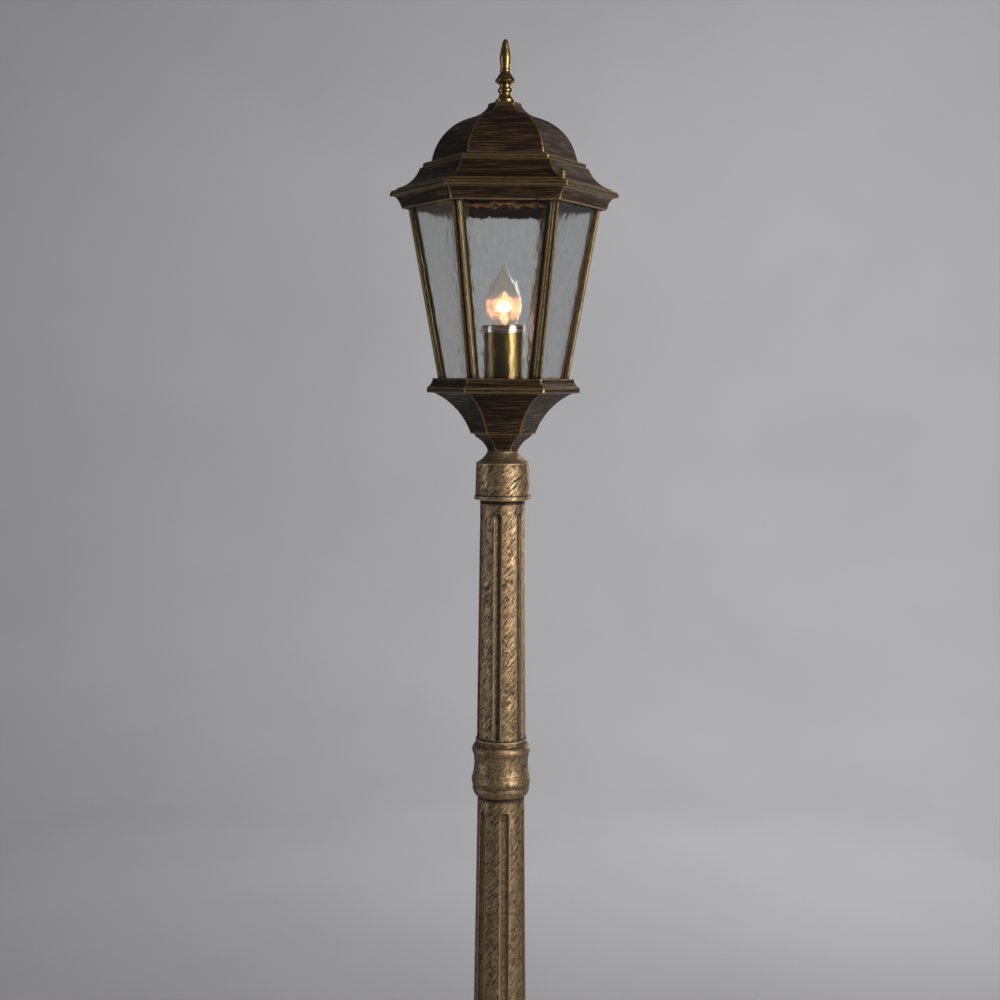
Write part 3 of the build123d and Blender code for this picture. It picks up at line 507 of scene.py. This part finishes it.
# Rolled from sheet: pale, with fine rings.
lamp_cap_metal = bare_metal(
    "rolled_nickel_brass_cap", ("#A7A297", "#C9C4B6"), 0.26, LATHE_RINGS, 0.01 * MM)
print("bare metals made, from", polished_gold.name, "to", lamp_cap_metal.name)

# %% [markdown]
# ## Moulded and fired materials
# The lampholder is phenolic resin, pressed hot, with a faint flow pattern. The insulator under the
# bulb's cap is black glass, the terminal block is glazed white ceramic, and cable and gasket are
# dull rubber with a dusty bloom. All are one recipe with different numbers.

# %% Recipe of the moulded materials
CLOUD_SIZE = 8   # times the grain


def moulded(name, colours, roughness, period, relief, coat=0.0):
    """A non-metal of two tones in soft clouds, with a fine texture in its roughness and relief."""
    finish, tree, shader, place = new_finish(name)
    cloud = pattern(tree, place, tuple(CLOUD_SIZE * p for p in period), 0.3, 0.7)
    grain = pattern(tree, place, period, 0.3, 0.7, detail=4, offset=6.0)
    colour = add_node(tree, "Mix", {
        FACTOR: cloud, FIRST: linear(colours[0]), SECOND: linear(colours[1])}, data_type="RGBA")
    dull = add_node(tree, "MapRange", {
        "Value": grain, "To Min": roughness - 0.05, "To Max": roughness + 0.07})
    texture = add_node(tree, "Bump", {"Height": grain, "Distance": relief, "Strength": 0.5})
    tree.links.new(colour.outputs[MIXED], shader.inputs["Base Color"])
    tree.links.new(dull.outputs[0], shader.inputs["Roughness"])
    tree.links.new(texture.outputs[0], shader.inputs["Normal"])
    shader.inputs["Coat Weight"].default_value = coat
    return finish


print("clouds are", CLOUD_SIZE, "grains wide")

# %% Resin, black glass, ceramic and rubber
# Hot-pressed resin: brown-black with a soft sheen.
holder_phenolic = moulded(
    "pressed_phenolic_resin", ("#1B1715", "#241D19"), 0.38, (1.2, 1.2, 1.2), 0.03 * MM)
# Fused glass: nearly a mirror, in black.
black_glass = moulded("black_glass", ("#08080A", "#101014"), 0.12, (2, 2, 2), 0.01 * MM)
# Fired glaze: small, hard highlights.
white_ceramic = moulded(
    "glazed_white_ceramic", ("#DAD6CB", "#E8E5DC"), 0.22, (1.5, 1.5, 1.5), 0.02 * MM, coat=0.5)
# Vulcanised rubber: almost no highlight at all.
black_rubber = moulded(
    "dull_black_rubber", ("#141414", "#1D1C1B"), 0.72, (0.7, 0.7, 0.7), 0.05 * MM)
print("moulded materials made, from", holder_phenolic.name, "to", black_rubber.name)

# %% [markdown]
# ## Clear glass
# Light that a lamp sends through real glass reaches what is behind it, which takes a renderer very
# long to find. So for shadow rays the glass is simply see-through, with a tint.

# %% Recipe of clear glass
GLASS_IOR = 1.5


def clear_glass(name, tint, shadow_tint):
    """Clear, smooth glass whose shadow is only a tint."""
    finish, tree, shader, place = new_finish(name)
    shader.inputs["Base Color"].default_value = linear(tint)
    shader.inputs["Roughness"].default_value = 0.0
    shader.inputs["Transmission Weight"].default_value = 1.0
    shader.inputs["IOR"].default_value = GLASS_IOR
    passing = add_node(tree, "BsdfTransparent", {"Color": linear(shadow_tint)})
    shadow_ray = add_node(tree, "LightPath").outputs["Is Shadow Ray"]
    either = add_node(tree, "MixShader", {
        0: shadow_ray, 1: shader.outputs[0], 2: passing.outputs[0]})
    tree.links.new(either.outputs[0], tree.nodes["Material Output"].inputs["Surface"])
    return finish, tree, shader, place


print("index of refraction of the glass:", GLASS_IOR)

# %% [markdown]
# ## Drawn water glass
# The panes are drawn glass, with a faint green from its iron that is a little stronger where the
# glass is thicker. Fine upright seeds, 2 mm wide and 8 mm long, ripple it between the larger waves
# that are modelled further on.

# %% Finish of the panes
SEED_PERIOD = (2.2, 2.2, 8.0)
SEED_HEIGHT = 0.05 * MM
THICK_PERIOD = tuple(1.6 * p for p in SEED_PERIOD)
THIN_TINT, THICK_TINT = "#F6F7F6", "#EAEEEC"


def water_glass():
    finish, tree, shader, place = clear_glass("drawn_water_glass", THIN_TINT, "#E4E6E4")
    seeds = pattern(tree, place, SEED_PERIOD, 0.2, 0.8, detail=3)
    ripples = add_node(tree, "Bump", {"Height": seeds, "Distance": SEED_HEIGHT, "Strength": 1.0})
    thick = pattern(tree, place, THICK_PERIOD, 0.3, 0.7, offset=2.6)
    tone = add_node(tree, "Mix", {
        FACTOR: thick, FIRST: linear(THIN_TINT), SECOND: linear(THICK_TINT)}, data_type="RGBA")
    tree.links.new(ripples.outputs[0], shader.inputs["Normal"])
    tree.links.new(tone.outputs[MIXED], shader.inputs["Base Color"])
    return finish


hammered_glass = water_glass()
print("finish made:", hammered_glass.name)

# %% [markdown]
# ## Blown lamp glass
# The bulb is blown from clear glass without a tint. The lit filament's light brightens the glass
# next to it, and a glow painted into the glass stands in for that light: warm and bright round the
# filament, with uneven gaps, and gone within two centimetres.

# %% Finish of the bulb
FILAMENT_LOW, FILAMENT_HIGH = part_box("bulb_filament")
FILAMENT_MIDDLE = (FILAMENT_LOW + FILAMENT_HIGH) / 2
# A glow painted into the bulb glass: it fades out between these distances from the filament.
PAINTED_GLOW_REACH, PAINTED_GLOW_CORE = 20 * MM, 14 * MM
PAINTED_GLOW_STRENGTH = 1.2


def glass_with_painted_glow():
    finish, tree, shader, place = clear_glass("blown_glass_painted_glow", "#FBFAF6", "#FFFFFF")
    from_filament = add_node(tree, "VectorMath", {
        0: place, 1: FILAMENT_MIDDLE}, operation="DISTANCE").outputs["Value"]
    glow = add_node(tree, "MapRange", {
        "Value": from_filament, "From Min": PAINTED_GLOW_REACH, "From Max": PAINTED_GLOW_CORE,
        "To Min": 0.0, "To Max": PAINTED_GLOW_STRENGTH}, interpolation_type="SMOOTHSTEP").outputs[0]
    gaps = pattern(tree, place, (7, 7, 6), 0.38, 0.62)
    patchy_painted_glow = add_node(tree, "Math", {0: glow, 1: gaps}, **TIMES).outputs[0]
    # Painted glow: the glass itself emits light in uneven patches round the filament.
    tree.links.new(patchy_painted_glow, shader.inputs["Emission Strength"])
    shader.inputs["Emission Color"].default_value = linear("#FFA868")
    return finish


lamp_glass = glass_with_painted_glow()
print("filament level in metres:", round(FILAMENT_MIDDLE.z, 4))

# %% [markdown]
# ## The glowing wire
# Tungsten at about 2700 kelvin gives an orange-white that burns out to white where it is brightest.

# %% Glowing tungsten
COOLEST, HOTTEST = 2500.0, 2900.0   # kelvin
WIRE_GLOW = 170.0


def glowing_tungsten():
    finish, tree, shader, place = new_finish("glowing_tungsten")
    heat = pattern(tree, place, (3, 3, 3), 0.2, 0.8)
    warmth = add_node(tree, "MapRange", {"Value": heat, "To Min": COOLEST, "To Max": HOTTEST})
    white_heat = add_node(tree, "Blackbody", {"Temperature": warmth.outputs[0]})
    tree.links.new(white_heat.outputs[0], shader.inputs["Emission Color"])
    shader.inputs["Emission Strength"].default_value = WIRE_GLOW
    shader.inputs["Base Color"].default_value = linear("#4A4440")
    shader.inputs["Roughness"].default_value = 0.5
    return finish


filament = glowing_tungsten()
print("finish made:", filament.name)

# %% [markdown]
# ## Finishes onto the frame
# Every node of the design carries the name of its finish in its material slot, so handing them out
# is a loop over the nodes. The glazing bars are named like the rest of the lantern there, but get
# their own wiped finish.

# %% Hand out the finishes
FINISHES = {
    "antiqued_lantern": antiqued_lantern, "antiqued_post": antiqued_post,
    "polished_gold": polished_gold, "satin_brass": satin_brass, "nickel_ring": nickel_ring,
    "zinc_steel": zinc_steel, "contact_brass": contact_brass, "lamp_cap_metal": lamp_cap_metal,
    "holder_phenolic": holder_phenolic, "black_glass": black_glass,
    "white_ceramic": white_ceramic, "black_rubber": black_rubber,
    "hammered_glass": hammered_glass, "lamp_glass": lamp_glass, "filament": filament,
}
for name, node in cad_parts.items():
    for slot in node.material_slots:
        finish = FINISHES[slot.material.name.split(".")[0]]
        slot.material = antiqued_bar if name.startswith("glazing_bar") else finish
print("nodes dressed:", len(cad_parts))

# %% [markdown]
# ## Rippled panes
# Water glass has long shallow waves in one face, which make the lantern sparkle, so they are
# modelled: a copy of the designed pane is merged into a plain slab, cut into a fine grid and pushed
# in and out along its own normal by a few tenths of a millimetre of noise. Most of that goes
# inwards, so the slab keeps its place in the grooves of the bars.

# %% Panes with real waves
PANE_COUNT = 6
PANE_CUTS = 95
WAVE_WIDTH, WAVE_LENGTH = 6.5 * MM, 10 * MM
WAVE_HEIGHT = 0.26 * MM
BROAD_SHARE, SMALL_SHARE = 0.75, 0.25
SMALL_WAVES = 3.1       # how much closer the small waves stand
INWARDS = 0.5           # in wave heights
NEXT_PANE = 7.3         # steps along the noise, so that no two panes are alike


def hammered_pane(number):
    """Replaces one designed pane by the same slab with a waved outer face."""
    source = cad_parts[f"glass_pane_{number}"]
    low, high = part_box(source.name)
    from_axis = Vector((low.x + high.x, low.y + high.y, 0))

    def waves(bm):
        bm.from_mesh(source.data)
        bmesh.ops.remove_doubles(bm, verts=bm.verts[:], dist=0.01 * MM)
        bmesh.ops.dissolve_limit(
            bm, angle_limit=math.radians(1), verts=bm.verts[:], edges=bm.edges[:])
        sheets = sorted(bm.faces, key=lambda f: -f.calc_area())[:2]
        outward = max((f.normal.copy() for f in sheets), key=lambda n: n.dot(from_axis))
        across = outward.cross(Vector((0, 0, 1))).normalized()
        upward = across.cross(outward).normalized()
        middle = (sheets[0].calc_center_median() + sheets[1].calc_center_median()) / 2
        rims = [e for e in bm.edges if any(f in sheets for f in e.link_faces)]
        bmesh.ops.subdivide_edges(bm, edges=rims, cuts=PANE_CUTS, use_grid_fill=True)
        shift = Vector((NEXT_PANE * number, 0, 0))
        for v in bm.verts:
            away = v.co - middle
            if away.dot(outward) < 0:
                continue
            spot = Vector((away.dot(across) / WAVE_WIDTH, away.dot(upward) / WAVE_LENGTH, 0))
            broad = noise.noise(spot + shift)
            small = noise.noise(SMALL_WAVES * spot + 2 * shift)
            height = BROAD_SHARE * broad + SMALL_SHARE * small - INWARDS
            v.co += outward * WAVE_HEIGHT * height

    pane = new_piece(f"hammered_pane_{number}", waves)
    pane.data.materials.append(hammered_glass)
    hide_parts(source.name)
    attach(pane, "post")
    return pane


panes = [hammered_pane(number) for number in range(1, PANE_COUNT + 1)]
print("triangles in a pane:", sum(len(p.vertices) - 2 for p in panes[0].data.polygons))

# %% [markdown]
# ## Coiled filament
# A filament is a wire wound to a fine coil, and the coil is strung in an arch between its two
# leads. A circle is pulled along the coil by a screw motion: spin turns it while it advances, and
# the straight coil is then bent to the arch that the design gives. The wire is several times
# thicker than a real one, so that its turns show.

# %% Filament
COIL_TURNS = 26
STEPS_IN_A_TURN = 14
WIRE_SIDES = 6
WIRE_RADIUS = 0.16 * MM
COIL_RADIUS = 0.8 * MM


def coiled_wire(bm):
    span = FILAMENT_HIGH.x - FILAMENT_LOW.x - 2 * COIL_RADIUS
    rise = FILAMENT_HIGH.z - FILAMENT_LOW.z - 2 * COIL_RADIUS
    bmesh.ops.create_circle(bm, segments=WIRE_SIDES, radius=WIRE_RADIUS, matrix=(
        Matrix.Translation((-span / 2, 0, COIL_RADIUS)) @ Matrix.Rotation(math.pi / 2, 4, "X")))
    steps = STEPS_IN_A_TURN * COIL_TURNS
    bmesh.ops.spin(
        bm, geom=bm.verts[:] + bm.edges[:], cent=(0, 0, 0), axis=(1, 0, 0),
        dvec=(span / steps, 0, 0), angle=math.tau * COIL_TURNS, steps=steps,
    )
    bmesh.ops.holes_fill(bm, edges=[e for e in bm.edges if e.is_boundary])
    for v in bm.verts:
        along = 2 * v.co.x / span
        v.co.z += rise * max(0.0, 1 - along ** 2) ** 0.5
    bmesh.ops.translate(bm, verts=bm.verts[:], vec=(
        FILAMENT_MIDDLE.x, FILAMENT_MIDDLE.y, FILAMENT_LOW.z + COIL_RADIUS))
    bmesh.ops.recalc_face_normals(bm, faces=bm.faces[:])


coil = new_piece("coiled_filament", coiled_wire)
coil.data.materials.append(filament)
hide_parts("bulb_filament")
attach(coil, "bulb")
print("filament faces:", len(coil.data.polygons))

# %% [markdown]
# ## Light from the lit bulb
# A small warm lamp at the filament lights the ring, the sleeve and the inner edges of the bars. It
# is weak, because the lamp post stands in a bright studio and its bulb hardly adds to that.

# %% The bulb's own light
BULB_WATTS = 0.15

glow_data = bpy.data.lights.new("bulb_glow", "POINT")
glow_data.energy = BULB_WATTS
glow_data.color = linear("#FFC48C")[:3]
glow_data.shadow_soft_size = 5 * MM
bulb_light = bpy.data.objects.new("bulb_glow", glow_data)
bulb_light.location = FILAMENT_MIDDLE
bulb_light.visible_camera = False
bpy.context.scene.collection.objects.link(bulb_light)
print("bulb light in watts:", BULB_WATTS)
